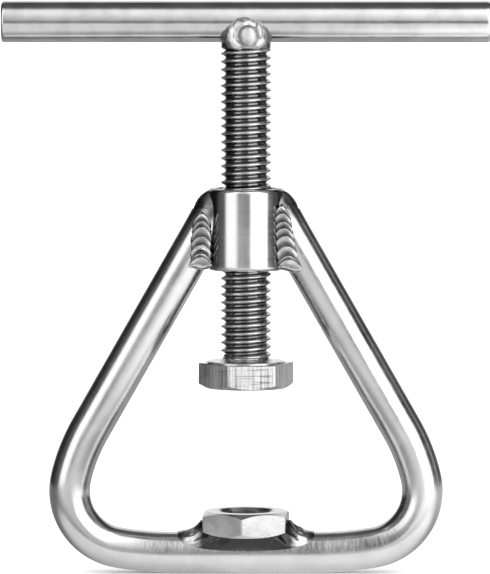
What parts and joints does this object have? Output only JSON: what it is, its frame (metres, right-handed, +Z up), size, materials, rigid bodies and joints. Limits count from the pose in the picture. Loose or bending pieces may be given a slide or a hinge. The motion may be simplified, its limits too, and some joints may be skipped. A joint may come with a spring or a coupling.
{
  "type": "screw nutcracker",
  "caption": "Screw-press nutcracker: a bent rod frame, a threaded bush, a cross-handled hex screw as the press and a hex nut as the anvil.",
  "frame": {"origin": "on the surface that the foot bar rests on, under the middle of the foot bar and on the screw's axis", "axes": "+Z up along the screw, +X along the handle bar and the foot bar, +Y from front to back"},
  "size_m": [0.076, 0.015, 0.0894],
  "materials": {
    "polished_rod": "stainless steel round bar, linished lengthways and buffed",
    "turned_bush": "stainless steel, turned and buffed",
    "nut_steel": "stainless steel hex nut, cold formed, fine scratches",
    "screw_steel": "stainless steel hex screw, rolled thread",
    "weld_bead": "stainless weld bead, rippled and brushed",
    "ground_weld": "stainless weld ground flush"
  },
  "bodies": {
    "frame": {"frame_rod": "polished_rod", "threaded_bush": "turned_bush", "anvil_nut": "nut_steel", "cap_weld_left": "ground_weld", "cap_weld_right": "ground_weld", "bush_weld_left_front": "weld_bead", "bush_weld_left_rear": "weld_bead", "bush_weld_right_front": "weld_bead", "bush_weld_right_rear": "weld_bead", "anvil_weld_left": "weld_bead", "anvil_weld_right": "weld_bead"},
    "carrier": {"washer_face": "screw_steel"},
    "screw": {"hex_screw": "screw_steel", "handle_bar": "polished_rod", "handle_weld_front": "weld_bead", "handle_weld_rear": "weld_bead"}
  },
  "joints": [
    {"name": "screw_travel", "type": "slide", "parent": "frame", "child": "carrier", "axis": [0, 0, 1], "range_m": [-0.0192, 0.0125]},
    {"name": "screw_turn", "type": "hinge", "parent": "carrier", "child": "screw", "pos_m": [0, 0, 0.05], "axis": [0, 0, 1], "range_deg": [-5529.6, 3600]}
  ],
  "couplings": [
    {"joint": "screw_travel", "follows": "screw_turn", "m_per_rad": 0.00019894}
  ]
}
